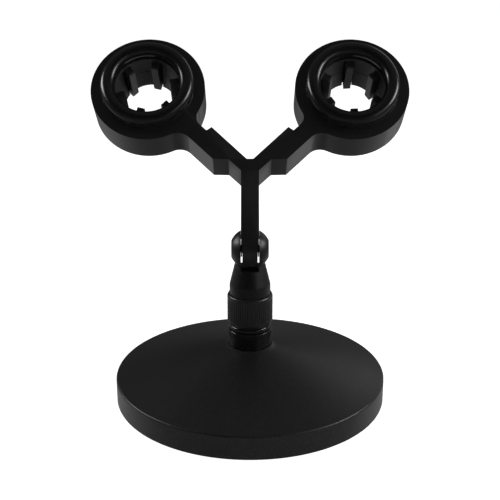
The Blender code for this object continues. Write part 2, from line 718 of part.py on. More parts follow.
def build():
    clear_scene()
    make_collection(PARTS_COLLECTION)
    make_collection(CUTTERS_COLLECTION)
    cast_iron = make_material("powder_coat", (0.018, 0.018, 0.019), 0.62, 0.0)
    steel = make_material("zinc_steel", (0.55, 0.55, 0.56), 0.38, 1.0)
    screw_steel = make_material("black_oxide_steel", (0.05, 0.05, 0.05), 0.35, 0.8)
    anodised = make_material("black_plated", (0.015, 0.015, 0.016), 0.28, 0.5)
    aluminium = make_material("black_satin", (0.016, 0.016, 0.017), 0.5, 0.2)
    rubber = make_material("black_rubber", (0.01, 0.01, 0.011), 0.22, 0.0)
    pad_rubber = make_material("pad_rubber", (0.02, 0.02, 0.02), 0.8, 0.0)
    plastic = make_material("black_nylon", (0.02, 0.02, 0.021), 0.55, 0.0)
    build_base(cast_iron, pad_rubber, steel)
    build_stack(anodised, plastic, screw_steel)
    build_fork(anodised)
    build_pivot(screw_steel, plastic)
    build_yoke(aluminium)
    for side in SIDES:
        build_shock_ring(side, rubber)
        build_grip_cup(side, plastic)


build()
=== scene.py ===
"""Looks of the twin microphone holder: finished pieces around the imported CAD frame.

Everything is in metres in the CAD's own frame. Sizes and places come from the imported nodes' boxes
and joints; the constants below are only the small finishing dimensions that the CAD leaves plain.
"""

import json
import math

import bmesh
import bpy
from mathutils import Matrix, Vector


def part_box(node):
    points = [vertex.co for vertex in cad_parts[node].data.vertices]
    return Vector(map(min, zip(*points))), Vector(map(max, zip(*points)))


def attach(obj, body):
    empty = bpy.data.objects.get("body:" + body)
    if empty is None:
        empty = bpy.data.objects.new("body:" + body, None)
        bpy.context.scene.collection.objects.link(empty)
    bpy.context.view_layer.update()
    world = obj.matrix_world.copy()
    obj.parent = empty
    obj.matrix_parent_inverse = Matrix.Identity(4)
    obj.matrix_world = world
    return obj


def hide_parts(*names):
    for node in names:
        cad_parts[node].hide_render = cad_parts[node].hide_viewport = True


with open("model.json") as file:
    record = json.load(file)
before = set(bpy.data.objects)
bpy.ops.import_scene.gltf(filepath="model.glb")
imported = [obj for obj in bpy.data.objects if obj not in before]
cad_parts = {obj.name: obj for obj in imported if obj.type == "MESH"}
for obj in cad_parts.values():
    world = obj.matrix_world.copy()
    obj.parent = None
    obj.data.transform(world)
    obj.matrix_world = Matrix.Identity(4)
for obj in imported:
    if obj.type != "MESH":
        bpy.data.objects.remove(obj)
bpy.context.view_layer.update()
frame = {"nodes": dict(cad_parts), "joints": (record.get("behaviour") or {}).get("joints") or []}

MM = 0.001
CLEARANCE = 0.3 * MM
SCREW_HOLE_RADIUS = 2.3 * MM
SIDES = {"left": -1.0, "right": 1.0}
JOINTS = {joint["name"]: joint for joint in frame["joints"]}
PIVOT = Vector(JOINTS["yoke_tilt"]["pos_m"])
RING_AXIS = Vector(JOINTS["insert_turn_right"]["axis"]).normalized()


# ---------------------------------------------------------------- camera, light and floor

CAMERA_TARGET_HEIGHT = 0.08588
CAMERA_DISTANCE = 0.54497
CAMERA_PITCH = math.radians(19.22)
CAMERA_LENS = 72.0
SENSOR_WIDTH = 36.0
NEAR_CLIP = 0.01
LIGHT_AIM_HEIGHT = 0.1
WORLD_NADIR = 0.08
WORLD_ZENITH = 0.015
WORLD_BAND = ((0.07, 0.24), (0.16, 0.5), (0.28, 0.5), (0.42, 0.12), (0.55, 0.07), (0.70, 0.03))
FRONT_STRENGTH = 0.3
FLOOR_RADIUS = 6.0
BACKDROP_RADIUS = 5.9
BACKDROP_HEIGHT = 8.0
BACKDROP_MIDDLE = 3.9
PAPER_GREY = 0.93
PAPER_GLOW = 0.95
ROUND_SEGMENTS = 96


def make_camera():
    camera = bpy.data.objects.new("camera", bpy.data.cameras.new("camera"))
    camera.data.lens = CAMERA_LENS
    camera.data.sensor_width = SENSOR_WIDTH
    camera.data.clip_start = NEAR_CLIP
    ahead = Vector((0.0, math.cos(CAMERA_PITCH), -math.sin(CAMERA_PITCH)))
    target = Vector((0.0, 0.0, CAMERA_TARGET_HEIGHT))
    camera.location = target - ahead * CAMERA_DISTANCE
    camera.rotation_euler = (math.pi / 2.0 - CAMERA_PITCH, 0.0, 0.0)
    bpy.context.scene.collection.objects.link(camera)
    bpy.context.scene.camera = camera


def make_softbox(name, direction, distance, width, height, power):
    """A rectangular area light that faces the object's middle, at a distance along a direction."""
    light = bpy.data.lights.new(name, "AREA")
    light.shape = "RECTANGLE"
    light.size = width
    light.size_y = height
    light.energy = power
    obj = bpy.data.objects.new(name, light)
    aim = Vector((0.0, 0.0, LIGHT_AIM_HEIGHT))
    offset = Vector(direction).normalized() * distance
    obj.location = aim + offset
    obj.rotation_euler = (-offset).to_track_quat("-Z", "Z").to_euler()
    bpy.context.scene.collection.objects.link(obj)


def make_skylight(name, direction, angle_deg, strength):
    """A far, wide overhead light, which softly fills everything that faces up."""
    light = bpy.data.lights.new(name, "SUN")
    light.angle = math.radians(angle_deg)
    light.energy = strength
    obj = bpy.data.objects.new(name, light)
    obj.rotation_euler = (-Vector(direction)).to_track_quat("-Z", "Z").to_euler()
    bpy.context.scene.collection.objects.link(obj)


def grey(level):
    return (level, level, level, 1.0)


def make_world():
    """A dark studio with a soft grey band below the horizon, strongest behind the object."""
    world = bpy.data.worlds.new("studio")
    world.use_nodes = True
    bpy.context.scene.world = world
    nodes = world.node_tree.nodes
    links = world.node_tree.links
    coordinates = nodes.new("ShaderNodeTexCoord")
    split = nodes.new("ShaderNodeSeparateXYZ")
    height = nodes.new("ShaderNodeMapRange")
    ramp = nodes.new("ShaderNodeValToRGB")
    behind = nodes.new("ShaderNodeMapRange")
    links.new(coordinates.outputs["Generated"], split.inputs[0])
    links.new(split.outputs["Z"], height.inputs["Value"])
    height.inputs["From Min"].default_value = -1.0
    height.inputs["From Max"].default_value = 1.0
    links.new(height.outputs[0], ramp.inputs[0])
    stops = ramp.color_ramp.elements
    stops[0].position = 0.0
    stops[0].color = grey(WORLD_NADIR)
    stops[1].position = 1.0
    stops[1].color = grey(WORLD_ZENITH)
    for position, level in WORLD_BAND:
        stops.new(position).color = grey(level)
    links.new(ramp.outputs[0], nodes["Background"].inputs["Color"])
    links.new(split.outputs["Y"], behind.inputs["Value"])
    behind.interpolation_type = "SMOOTHSTEP"
    behind.inputs["From Min"].default_value = -0.3
    behind.inputs["From Max"].default_value = 0.6
    behind.inputs["To Min"].default_value = FRONT_STRENGTH
    links.new(behind.outputs[0], nodes["Background"].inputs["Strength"])


def make_paper():
    """Pale paper that glows a little, so that it stays even out to the back."""
    material = bpy.data.materials.new("floor_paper")
    material.use_nodes = True
    shader = material.node_tree.nodes["Principled BSDF"]
    shader.inputs["Base Color"].default_value = grey(PAPER_GREY)
    shader.inputs["Roughness"].default_value = 0.9
    shader.inputs["Emission Color"].default_value = grey(1.0)
    shader.inputs["Emission Strength"].default_value = PAPER_GLOW
    return material


def stage_object(name, body, material):
    """An object of the studio, which glossy surfaces don't reflect."""
    mesh = bpy.data.meshes.new(name)
    body.to_mesh(mesh)
    body.free()
    mesh.materials.append(material)
    obj = bpy.data.objects.new(name, mesh)
    obj.visible_glossy = False
    bpy.context.scene.collection.objects.link(obj)
    return obj


def make_floor(paper):
    body = bmesh.new()
    bmesh.ops.create_circle(body, cap_ends=True, radius=FLOOR_RADIUS, segments=ROUND_SEGMENTS)
    stage_object("floor", body, paper)


def make_backdrop(paper):
    """A pale wall all round, seen by the camera only, so that every side view ends in paper."""
    body = bmesh.new()
    radius = BACKDROP_RADIUS
    bmesh.ops.create_cone(body, cap_ends=False, radius1=radius, radius2=radius,
                          depth=BACKDROP_HEIGHT, segments=ROUND_SEGMENTS)
    backdrop = stage_object("backdrop", body, paper)
    backdrop.location.z = BACKDROP_MIDDLE
    backdrop.visible_diffuse = False
    backdrop.visible_shadow = False


def make_studio():
    scene = bpy.context.scene
    scene.view_settings.view_transform = "Standard"
    make_camera()
    make_world()
    paper = make_paper()
    make_floor(paper)
    make_backdrop(paper)
    make_softbox("softbox_left", (-0.88, 0.22, 0.40), 0.9, 0.24, 0.52, 3.2)
    make_softbox("softbox_right", (0.91, -0.06, 0.39), 0.9, 0.24, 0.52, 3.4)
    make_softbox("softbox_back", (0.7, 1.0, 0.45), 1.4, 0.7, 0.5, 0.8)
    make_softbox("fill_right", (0.78, -0.58, 0.2), 1.2, 0.45, 0.7, 0.7)
    make_skylight("skylight", (0.05, 0.3, 1.0), 90.0, 0.16)


# ---------------------------------------------------------------- node helpers for finishes

class Finish:
    """A Principled material, built up from small procedural steps in object coordinates."""

    def __init__(self, name, colour, roughness, metallic=0.0, specular=0.5):
        self.material = bpy.data.materials.new(name)
        self.material.use_nodes = True
        self.nodes = self.material.node_tree.nodes
        self.links = self.material.node_tree.links
        self.shader = self.nodes["Principled BSDF"]
        self.shader.inputs["Metallic"].default_value = metallic
        self.shader.inputs["Specular IOR Level"].default_value = specular
        self.place = self.nodes.new("ShaderNodeTexCoord").outputs["Object"]
        self.colour = colour
        self.roughness = roughness
        self.height = None

    def math(self, operation, first, second):
        node = self.nodes.new("ShaderNodeMath")
        node.operation = operation
        for socket, item in zip(node.inputs, (first, second)):
            if isinstance(item, (int, float)):
                socket.default_value = item
            else:
                self.links.new(item, socket)
        return node.outputs[0]

    def ramp(self, source, low, high, low_out=0.0, high_out=1.0):
        node = self.nodes.new("ShaderNodeMapRange")
        node.interpolation_type = "SMOOTHSTEP"
        self.links.new(source, node.inputs["Value"])
        node.inputs["From Min"].default_value = low
        node.inputs["From Max"].default_value = high
        node.inputs["To Min"].default_value = low_out
        node.inputs["To Max"].default_value = high_out
        return node.outputs[0]

    def noise(self, size, detail=2.0):
        """Noise from 0 to 1 with features of about this size, in metres."""
        node = self.nodes.new("ShaderNodeTexNoise")
        node.inputs["Scale"].default_value = 1.0 / size
        node.inputs["Detail"].default_value = detail
        self.links.new(self.place, node.inputs["Vector"])
        return node.outputs["Fac"]

    def cells(self, size):
        """Distance to the nearest of scattered points, for stipple and orange peel."""
        node = self.nodes.new("ShaderNodeTexVoronoi")
        node.inputs["Scale"].default_value = 1.0 / size
        self.links.new(self.place, node.inputs["Vector"])
        return node.outputs["Distance"]

    def edges(self, low=0.505, high=0.56):
        """1 on convex edges, from how pointed the mesh is there."""
        geometry = self.nodes.new("ShaderNodeNewGeometry")
        return self.ramp(geometry.outputs["Pointiness"], low, high)

    def tint(self, mask, colour, amount=1.0):
        """Mix towards a colour where the mask is 1."""
        node = self.nodes.new("ShaderNodeMix")
        node.data_type = "RGBA"
        factor = self.math("MULTIPLY", mask, amount)
        self.links.new(factor, node.inputs[0])
        if isinstance(self.colour, tuple):
            node.inputs[6].default_value = (*self.colour, 1.0)
        else:
            self.links.new(self.colour, node.inputs[6])
        node.inputs[7].default_value = (*colour, 1.0)
        self.colour = node.outputs[2]

    def rougher(self, mask, amount):
        """Add to the roughness where the mask is 1; a negative amount polishes."""
        self.roughness = self.math("ADD", self.roughness, self.math("MULTIPLY", mask, amount))

    def raise_by(self, pattern, distance):
        """Add a pattern from 0 to 1 to the surface height, this many metres high."""
        step = self.math("MULTIPLY", pattern, distance)
        self.height = step if self.height is None else self.math("ADD", self.height, step)

    def done(self):
        self.links.new(self.colour, self.shader.inputs["Base Color"])
        clamp = self.nodes.new("ShaderNodeClamp")
        self.links.new(self.roughness, clamp.inputs["Value"])
        clamp.inputs["Min"].default_value = 0.05
        self.links.new(clamp.outputs[0], self.shader.inputs["Roughness"])
        if self.height is not None:
            bump = self.nodes.new("ShaderNodeBump")
            bump.inputs["Strength"].default_value = 1.0
            bump.inputs["Distance"].default_value = 1.0
            self.links.new(self.height, bump.inputs["Height"])
            self.links.new(bump.outputs[0], self.shader.inputs["Normal"])
        return self.material


# ---------------------------------------------------------------- finishes

def powder_coat():
    finish = Finish("powder_coat", (0.009, 0.009, 0.010), 0.32)
    finish.tint(finish.noise(0.03, 4.0), (0.014, 0.014, 0.015), 0.8)
    grain = finish.noise(0.0011, 2.0)
    finish.tint(finish.ramp(grain, 0.5, 0.7), (0.035, 0.035, 0.036), 0.4)
    finish.rougher(finish.noise(0.012, 3.0), 0.06)
    finish.rougher(grain, 0.08)
    finish.raise_by(grain, 0.00005)
    finish.raise_by(finish.cells(0.0005), 0.00001)
    # Painted highlight: convex edges are tinted lighter to stand for the light line along the rim. The same
    # mask also polishes them to a lower roughness.
    edge_highlight_and_polish = finish.edges(0.53, 0.6)
    finish.tint(edge_highlight_and_polish, (0.09, 0.09, 0.092), 0.8)
    finish.rougher(edge_highlight_and_polish, -0.16)
    return finish.done()


def satin_black():
    finish = Finish("satin_black", (0.004, 0.004, 0.0045), 0.36, specular=0.34)
    finish.tint(finish.noise(0.02, 3.0), (0.006, 0.006, 0.0065), 0.8)
    finish.rougher(finish.noise(0.006, 3.0), 0.07)
    finish.raise_by(finish.noise(0.0004, 2.0), 0.000008)
    finish.tint(finish.edges(), (0.04, 0.04, 0.041), 0.4)
    finish.rougher(finish.edges(), -0.1)
    return finish.done()


def plated_gloss(name="plated_gloss", roughness=0.14, grey=0.003):
    finish = Finish(name, (grey, grey, grey * 1.1), roughness)
    finish.tint(finish.noise(0.01, 3.0), (grey * 2.0, grey * 2.0, grey * 2.1), 0.7)
    finish.rougher(finish.noise(0.003, 4.0), 0.05)
    finish.raise_by(finish.noise(0.006, 2.0), 0.000004)
    finish.tint(finish.edges(), (0.03, 0.03, 0.03), 0.3)
    return finish.done()


def moulded_rubber():
    finish = Finish("moulded_rubber", (0.004, 0.004, 0.0045), 0.22)
    finish.tint(finish.noise(0.015, 3.0), (0.008, 0.008, 0.0085), 0.7)
    finish.rougher(finish.noise(0.004, 4.0), 0.07)
    finish.raise_by(finish.noise(0.002, 2.0), 0.000004)
    return finish.done()


def moulded_nylon():
    finish = Finish("moulded_nylon", (0.009, 0.009, 0.010), 0.42)
    finish.tint(finish.noise(0.008, 3.0), (0.014, 0.014, 0.015), 0.8)
    finish.rougher(finish.noise(0.002, 3.0), 0.08)
    finish.raise_by(finish.cells(0.0004), 0.000015)
    finish.tint(finish.edges(), (0.06, 0.06, 0.06), 0.3)
    return finish.done()


def pad_rubber():
    finish = Finish("pad_rubber", (0.012, 0.012, 0.012), 0.75)
    finish.tint(finish.noise(0.01, 4.0), (0.02, 0.02, 0.02), 0.8)
    finish.rougher(finish.noise(0.003, 3.0), 0.1)
    finish.raise_by(finish.cells(0.0012), 0.00008)
    return finish.done()


def black_oxide():
    finish = Finish("black_oxide", (0.02, 0.02, 0.021), 0.36, metallic=0.4)
    finish.tint(finish.noise(0.003, 4.0), (0.04, 0.038, 0.036), 0.7)
    finish.rougher(finish.noise(0.001, 3.0), 0.12)
    finish.raise_by(finish.noise(0.0003, 3.0), 0.000008)
    finish.tint(finish.edges(), (0.12, 0.12, 0.12), 0.4)
    return finish.done()


def zinc_plate():
    finish = Finish("zinc_plate", (0.5, 0.5, 0.52), 0.34, metallic=1.0)
    finish.tint(finish.noise(0.004, 4.0), (0.62, 0.6, 0.55), 0.6)
    finish.rougher(finish.noise(0.0015, 4.0), 0.16)
    finish.raise_by(finish.noise(0.0004, 3.0), 0.00001)
    return finish.done()


# ---------------------------------------------------------------- shape helpers

MERGE_DISTANCE = 0.002 * MM
SMOOTH_ANGLE = math.radians(35.0)
FLAT_FACE_WEIGHT = 90
LONGEST_TRIM = 0.49


def filleted(points, closed=False, count=4):
    """Round a polyline's corners. Each point is (u, v) or (u, v, fillet radius).

    A fillet takes at most just under half of each neighbouring segment.
    """
    flat = [Vector(point[:2]) for point in points]
    radii = [point[2] if len(point) > 2 else 0.0 for point in points]
    total = len(points)
    result = []
    for i, corner in enumerate(flat):
        ends = not closed and i in (0, total - 1)
        if radii[i] <= 0.0 or ends:
            result.append(corner)
            continue
        back = (flat[i - 1] - corner)
        ahead = (flat[(i + 1) % total] - corner)
        back_unit = back.normalized()
        ahead_unit = ahead.normalized()
        half_angle = math.acos(max(-1.0, min(1.0, back_unit.dot(ahead_unit)))) / 2.0
        trim = radii[i] / math.tan(half_angle)
        trim = min(trim, back.length * LONGEST_TRIM, ahead.length * LONGEST_TRIM)
        radius = trim * math.tan(half_angle)
        centre = corner + (back_unit + ahead_unit).normalized() * (radius / math.sin(half_angle))
        first = corner + back_unit * trim - centre
        last = corner + ahead_unit * trim - centre
        start = math.atan2(first.y, first.x)
        turn = (math.atan2(last.y, last.x) - start + math.pi) % (2.0 * math.pi) - math.pi
        for step in range(count + 1):
            angle = start + turn * step / count
            result.append(centre + Vector((math.cos(angle), math.sin(angle))) * radius)
    return result


def arc(centre, radius, start_deg, end_deg, count):
    points = []
    for i in range(count + 1):
        angle = math.radians(start_deg + (end_deg - start_deg) * i / count)
        points.append((centre[0] + radius * math.cos(angle), centre[1] + radius * math.sin(angle)))
    return points


def new_object(name, body, matrix=None):
    """An object from a bmesh, with doubled points merged and its faces pointing out."""
    bmesh.ops.remove_doubles(body, verts=body.verts, dist=MERGE_DISTANCE)
    bmesh.ops.recalc_face_normals(body, faces=body.faces)
    mesh = bpy.data.meshes.new(name)
    body.to_mesh(mesh)
    body.free()
    obj = bpy.data.objects.new(name, mesh)
    bpy.context.scene.collection.objects.link(obj)
    if matrix is not None:
        mesh.transform(matrix)
    return obj


def lathe(name, profile, segments=128, closed=False, matrix=None, radius_at=None):
    """Turn a (radius, height) profile about local Z. radius_at may vary a radius by angle."""
    body = bmesh.new()
    columns = []
    for i in range(segments):
        angle = 2.0 * math.pi * i / segments
        column = []
        for radius, height in profile:
            if radius_at is not None:
                radius = radius_at(radius, height, angle)
            column.append(body.verts.new((radius * math.cos(angle), radius * math.sin(angle), height)))
        columns.append(column)
    rows = len(profile) if closed else len(profile) - 1
    for i in range(segments):
        here = columns[i]
        there = columns[(i + 1) % segments]
        for row in range(rows):
            after = (row + 1) % len(profile)
            body.faces.new((here[row], here[after], there[after], there[row]))
    return new_object(name, body, matrix)


def prism(name, outline, low, high, matrix=None):
    """A flat outline extruded along local Z from low to high."""
    body = bmesh.new()
    bottom = [body.verts.new((u, v, low)) for u, v in outline]
    top = [body.verts.new((u, v, high)) for u, v in outline]
    body.faces.new(bottom)
    body.faces.new(top)
    for i in range(len(outline)):
        j = (i + 1) % len(outline)
        body.faces.new((bottom[i], bottom[j], top[j], top[i]))
    return new_object(name, body, matrix)


def bake_modifiers(obj):
    """Keep the evaluated mesh as the object's own mesh."""
    depsgraph = bpy.context.evaluated_depsgraph_get()
    mesh = bpy.data.meshes.new_from_object(obj.evaluated_get(depsgraph))
    obj.modifiers.clear()
    obj.data = mesh


def round_hole(radius, count):
    """A closed circle of count points."""
    return arc((0.0, 0.0), radius, 0.0, 360.0 - 360.0 / count, count - 1)


def plain_points(points):
    return [tuple(point) for point in points]


def combine(target, tools, operation):
    """Cut or join tools with a target, then remove the tools."""
    for tool in tools:
        modifier = target.modifiers.new("combine", "BOOLEAN")
        modifier.operation = operation
        modifier.solver = "EXACT"
        modifier.object = tool
        bpy.context.view_layer.update()
        bake_modifiers(target)
        bpy.data.objects.remove(tool, do_unlink=True)


def soften(obj, width, segments=3, angle_deg=32.0):
    """Round the sharp edges with a narrow bevel."""
    bevel = obj.modifiers.new("soften", "BEVEL")
    bevel.width = width
    bevel.segments = segments
    bevel.limit_method = "ANGLE"
    bevel.angle_limit = math.radians(angle_deg)
    bevel.miter_outer = "MITER_ARC"
    bevel.use_clamp_overlap = True
    bpy.context.view_layer.update()
    bake_modifiers(obj)


def finish_piece(obj, body, replaced, material):
    """Give a piece its finish and its body, and hide the CAD node that it stands for."""
    mesh = obj.data
    mesh.materials.clear()
    mesh.materials.append(material)
    mesh.shade_smooth()
    mesh.set_sharp_from_angle(angle=SMOOTH_ANGLE)
    weighted = obj.modifiers.new("flat_faces", "WEIGHTED_NORMAL")
    weighted.keep_sharp = True
    weighted.weight = FLAT_FACE_WEIGHT
    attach(obj, body)
    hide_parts(replaced)


def frame_matrix(origin, axis):
    """Local Z along an axis and local X along world X, both from the CAD."""
    z = Vector(axis).normalized()
    x = Vector((1.0, 0.0, 0.0))
    y = z.cross(x).normalized()
    rotation = Matrix((x, y, z)).transposed().to_4x4()
    return Matrix.Translation(origin) @ rotation


# ---------------------------------------------------------------- base

def build_base():
    low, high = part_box("base_casting")
    radius = high.x
    collar_low, collar_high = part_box("threaded_post")
    collar = collar_high.x + CLEARANCE
    rim_top = 13.8 * MM
    hub_top = high.z
    edge = 1.2 * MM
    rim = radius - edge
    hub_rise = 0.5 * MM
    hub_reach = 3.0 * MM
    slope = (hub_top - hub_rise - rim_top) / (rim - collar_high.x)
    top = []
    rows = 60
    crowding = 1.4
    for i in range(rows):
        at = collar + (rim - collar) * (i / float(rows)) ** crowding
        height = rim_top + slope * (rim - at)
        reach = collar_high.x + hub_reach - at
        if reach > 0.0:
            height += hub_rise * (reach / hub_reach) ** 2
        top.append((at, height))
    pad_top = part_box("base_pad")[1].z
    pad_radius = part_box("base_pad")[1].x
    boss = 18.0 * MM
    boss_foot = 13.0 * MM
    boss_blend = 2.0 * MM
    hole = 4.5 * MM
    relief = 63.0 * MM
    wall = 8.5 * MM
    foot_round = 0.4 * MM
    foot_step = 0.12 * MM

    def under(at):
        return rim_top + slope * (rim - at) - wall

    outer = arc((rim, rim_top - edge), edge, 90.0 - math.degrees(slope), 0.0, 8)
    lower = [
        (radius, low.z + foot_round),
        (radius - foot_step, low.z + foot_step),
        (radius - foot_round, low.z),
        (pad_radius + foot_round, low.z),
        (pad_radius + foot_round, pad_top + CLEARANCE),
        (relief, pad_top + CLEARANCE),
    ]
    cavity = filleted([
        (relief, pad_top + CLEARANCE),
        (relief, under(relief), 3.0 * MM),
        (boss + boss_blend, under(boss + boss_blend), 4.0 * MM),
        (boss, boss_foot, 1.0 * MM),
        (hole, boss_foot),
    ])
    seat = collar_low.z - CLEARANCE
    profile = [(hole, seat), (collar, seat)] + top + outer + lower[:-1] + plain_points(cavity)
    base = lathe("base_shell", profile, 240, closed=True)
    finish_piece(base, "base", "base_casting", powder_coat())

    groove_out = 3.0 * MM
    groove_in = 4.3 * MM
    groove_side = 0.3 * MM
    groove_depth = 0.25 * MM
    pad = filleted([
        (0.0, pad_top),
        (pad_radius, pad_top, 0.3 * MM),
        (pad_radius, 0.0, 0.5 * MM),
        (pad_radius - groove_out, 0.0),
        (pad_radius - groove_out - groove_side, groove_depth),
        (pad_radius - groove_in + groove_side, groove_depth),
        (pad_radius - groove_in, 0.0),
        (0.0, 0.0),
    ])
    pad_piece = lathe("foot_pad", plain_points(pad), 240)
    finish_piece(pad_piece, "base", "base_pad", pad_rubber())


# ---------------------------------------------------------------- upright stack

def build_stack():
    gloss = plated_gloss()
    low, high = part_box("threaded_post")
    collar_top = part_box("lock_ring")[0].z - CLEARANCE
    spigot = 7.94 * MM
    bolt = 4.3 * MM
    collar = high.x
    pitch = 0.94 * MM
    collar_pitch = 1.2 * MM
    collar_land = 3.6 * MM
    collar_grooves = 5
    groove_half = 0.25 * MM
    groove_middle = 0.7 * MM
    groove_depth = 0.08 * MM
    bolt_end = 46.0 * MM
    thread_depth = 0.45 * MM
    thread_start = 0.9 * MM
    thread_margin = 1.0 * MM
    chamfer = 0.8 * MM
    collar_thread_top = collar_top - collar_land
    thread = []
    turns = int((high.z - thread_margin - collar_top) / pitch)
    for i in range(turns):
        at = high.z - thread_start - pitch * i
        thread += [(spigot, at), (spigot - thread_depth, at - pitch / 2.0)]
    post = [(0.0, high.z), (spigot - chamfer, high.z)] + thread
    post += plain_points(filleted([
        (spigot, collar_top),
        (collar, collar_top, 0.5 * MM),
        (collar, collar_thread_top),
    ]))
    for i in range(collar_grooves):
        middle = collar_thread_top - collar_pitch * i - groove_middle
        post.append((collar, middle + groove_half))
        post.append((collar - groove_depth, middle))
        post.append((collar, middle - groove_half))
    post += plain_points(filleted([
        (collar, collar_thread_top - collar_pitch * collar_grooves),
        (collar, low.z),
        (bolt, low.z),
        (bolt, bolt_end),
        (0.0, bolt_end),
    ]))
    post_piece = lathe("post_collar", post, 144)
    finish_piece(post_piece, "base", "threaded_post", gloss)

    low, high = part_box("lock_ring")
    bore = spigot + CLEARANCE
    ring = plain_points(filleted([
        (bore, high.z),
        (high.x, high.z, 1.0 * MM),
        (high.x, low.z, 0.4 * MM),
        (bore, low.z),
    ], closed=True))
    ring_piece = lathe("jam_ring", ring, 144, closed=True)
    finish_piece(ring_piece, "lock_ring", "lock_ring", gloss)
    build_sleeve(bore)


KNURL_COUNT = 60
KNURL_DEPTH = 0.32 * MM


def build_sleeve(bore):
    low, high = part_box("knurled_sleeve")
    outer = high.x
    cone_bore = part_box("swivel_fork")[1].x + CLEARANCE
    spigot_bore = 6.3 * MM
    knurl_low = low.z + 3.0 * MM
    knurl_high = high.z - 2.4 * MM
    foot_height = 1.8 * MM
    foot_taper = 1.0 * MM
    screw_room = 9.4 * MM
    thread_end = 51.0 * MM
    wall_low = 56.5 * MM
    wall_high = 58.9 * MM
    same_radius = 0.01 * MM
    lead = 0.5 * MM
    top_round = 1.6 * MM

    outside = []
    round_steps = 8
    for i in range(round_steps + 1):
        turn = math.pi / 2.0 * i / float(round_steps)
        lip = (outer - cone_bore) * math.sin(turn)
        outside.append((cone_bore + lip, high.z - top_round * (1.0 - math.cos(turn))))
    outside += filleted([
        outside[-1],
        (outer, low.z + foot_height, 0.4 * MM),
        (outer - foot_taper, low.z, 0.2 * MM),
        (bore, low.z),
    ])
    outside = plain_points(outside)
    side = [point for point in outside if point[1] > knurl_high + lead]
    steps = 18
    for i in range(steps + 1):
        side.append((outer, knurl_high + lead - (knurl_high - knurl_low + 2.0 * lead) * i / steps))
    side += [point for point in outside if point[1] < knurl_low - lead]
    inside = [
        (bore, thread_end),
        (screw_room, thread_end),
        (screw_room, wall_low),
        (spigot_bore, wall_low),
        (spigot_bore, wall_high),
        (cone_bore, wall_high),
    ]

    def knurled(radius, height, angle):
        if radius < outer - same_radius:
            return radius
        fade = min(1.0, (height - knurl_low + lead) / lead, (knurl_high + lead - height) / lead)
        if fade <= 0.0:
            return radius
        groove = 0.5 + 0.5 * math.cos(KNURL_COUNT * angle)
        return radius - KNURL_DEPTH * fade * groove ** 2

    sleeve = lathe("knurled_coupling", side + inside, KNURL_COUNT * 8, True, None, knurled)
    plated = plated_gloss("plated_sleeve", 0.3, 0.009)
    finish_piece(sleeve, "sleeve", "knurled_sleeve", plated)


# ---------------------------------------------------------------- swivel fork and its pivot

def build_fork():
    ball_radius = 11.2 * MM
    low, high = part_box("swivel_fork")
    cone_radius = high.x
    neck_radius = 8.2 * MM
    cone_foot = 66.3 * MM
    foot = 60.1 * MM
    spigot = 6.0 * MM
    hole_end = 67.0 * MM
    cone_rows = 12
    height = PIVOT.z - math.sqrt(ball_radius ** 2 - neck_radius ** 2)
    angle = math.degrees(math.asin((height - PIVOT.z) / ball_radius))
    ball = arc((0.0, PIVOT.z), ball_radius, 90.0, angle, 48)
    ball[0] = (0.0, PIVOT.z + ball_radius)
    cone = []
    for i in range(cone_rows):
        fraction = i / float(cone_rows)
        cone.append((neck_radius + (cone_radius - neck_radius) * fraction,
                     height + (cone_foot - height) * fraction))
    lower = filleted([
        (cone_radius, cone_foot),
        (cone_radius, foot, 0.3 * MM),
        (spigot, foot),
        (spigot, low.z),
        (SCREW_HOLE_RADIUS, low.z),
        (SCREW_HOLE_RADIUS, hole_end),
        (0.0, hole_end),
    ])
    profile = ball + cone + plain_points(lower)
    fork = lathe("ball_fork", profile, 160)

    half_slot = 5.1 * MM
    reach = 14.0 * MM
    floor = PIVOT.z - 10.8 * MM
    flat = 10.2 * MM
    flat_foot = PIVOT.z - 7.0 * MM
    recess = 3.8 * MM
    recess_floor = 7.1 * MM
    above = PIVOT.z + reach
    slot_outline = [(-half_slot, floor), (half_slot, floor), (half_slot, above), (-half_slot, above)]
    upright = Matrix.Rotation(math.pi / 2.0, 4, "X")
    tools = [prism("slot", slot_outline, -reach, reach, upright)]
    for side, sign in SIDES.items():
        near, far = sorted((sign * flat, sign * reach))
        outline = [(near, flat_foot), (far, flat_foot), (far, above), (near, above)]
        tools.append(prism("flat_" + side, outline, -reach, reach, upright))
    across = Matrix.Translation(PIVOT) @ Matrix.Rotation(math.pi / 2.0, 4, "Y")
    hexagon = round_hole(recess / math.cos(math.pi / 6.0), 6)
    tools.append(prism("pivot_hole", round_hole(SCREW_HOLE_RADIUS, 32), -reach, reach, across))
    tools.append(prism("head_recess", round_hole(recess, 64), recess_floor, reach, across))
    tools.append(prism("nut_pocket", hexagon, -reach, -recess_floor, across))
    combine(fork, tools, "DIFFERENCE")
    soften(fork, 0.12 * MM, 2, 38.0)
    finish_piece(fork, "fork", "swivel_fork", plated_gloss("plated_fork", 0.36))


# ---------------------------------------------------------------- yoke

YOKE_HALF_THICKNESS = 10.35 * MM
LOWER_ARM_MM = ((4.95, 42.2), (11.9, 49.0), (20.6, 49.2))
UPPER_ARM_MM = ((24.4, 67.0), (21.5, 69.15), (1.8, 49.3))


def fillet_to_ring(start, direction, side, radius, ring_centre, ring_radius, count=12):
    """Concave fillet between a straight edge and the ring's outside."""
    offset = start + side * radius - ring_centre
    reach = ring_radius + radius
    along = offset.dot(direction)
    travel = -along - math.sqrt(along ** 2 - offset.dot(offset) + reach ** 2)
    centre = ring_centre + offset + direction * travel
    on_line = -side * radius
    on_ring = (ring_centre - centre) * (radius / reach)
    first = math.atan2(on_line.y, on_line.x)
    last = math.atan2(on_ring.y, on_ring.x)
    turn = (last - first + math.pi) % (2.0 * math.pi) - math.pi
    points = []
    for i in range(count + 1):
        angle = first + turn * i / count
        points.append(centre + Vector((math.cos(angle), math.sin(angle))) * radius)
    return points


